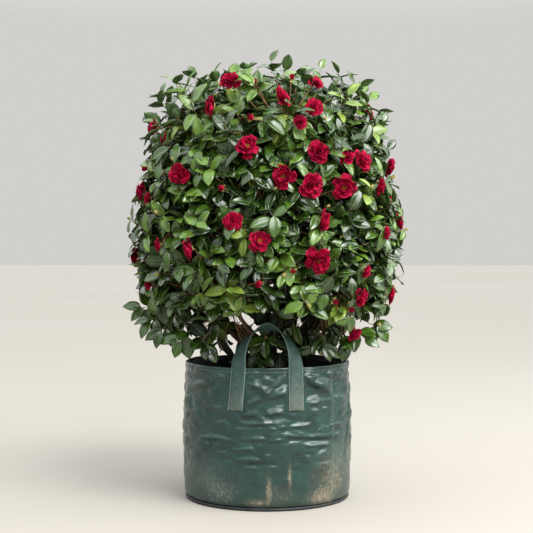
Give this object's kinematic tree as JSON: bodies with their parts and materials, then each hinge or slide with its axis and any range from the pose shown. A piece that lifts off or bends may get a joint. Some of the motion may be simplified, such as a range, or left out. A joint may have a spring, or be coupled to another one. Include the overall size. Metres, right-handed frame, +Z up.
{
  "type": "potted camellia shrub",
  "caption": "Dense rounded camellia shrub with glossy leaves and double crimson blooms, growing in a soft woven planter bag with carrying handles.",
  "frame": {"origin": "centre of the bag's flat underside, at ground level", "axes": "+Z up, -Y towards the side seen in the picture, +X to that side's right"},
  "size_m": [0.8844, 0.8854, 1.4002],
  "materials": {
    "woven_poly": "coated weave with a soft shine",
    "base_poly": "black coated weave",
    "webbing": "flat woven strap, semi-matt",
    "seam_thread": "twisted thread",
    "potting_mix": "damp composted bark, matt",
    "bark": "smooth fawn bark",
    "twig": "young orange-brown bark",
    "leaf": "waxy gloss",
    "leaf_young": "waxy gloss",
    "leaf_back": "matt underside",
    "petal": "velvety",
    "stamen": "powdery",
    "bud": "downy scales"
  },
  "bodies": {
    "root": {"planter_bag": "woven_poly", "bag_base": "base_poly", "potting_mix": "potting_mix", "handle_front": "webbing", "handle_back": "webbing", "trunk": "bark", "bough_low_1": "bark", "bough_low_2": "bark", "bough_low_3": "bark", "bough_low_4": "bark", "bough_low_5": "bark", "bough_low_6": "bark", "bough_middle_1": "bark", "bough_middle_2": "bark", "bough_middle_3": "bark", "bough_middle_4": "bark", "bough_middle_5": "bark", "bough_middle_6": "bark", "bough_high_1": "bark", "bough_high_2": "bark", "bough_high_3": "bark", "bough_high_4": "bark", "bough_high_5": "bark", "foliage_low_1": "leaf", "foliage_low_2": "leaf", "foliage_low_3": "leaf", "foliage_low_4": "leaf", "foliage_low_5": "leaf", "foliage_low_6": "leaf", "foliage_middle_1": "leaf", "foliage_middle_2": "leaf", "foliage_middle_3": "leaf", "foliage_middle_4": "leaf", "foliage_middle_5": "leaf", "foliage_middle_6": "leaf", "foliage_high_1": "leaf", "foliage_high_2": "leaf", "foliage_high_3": "leaf", "foliage_high_4": "leaf", "foliage_high_5": "leaf", "foliage_top": "leaf"}
  },
  "joints": []
}
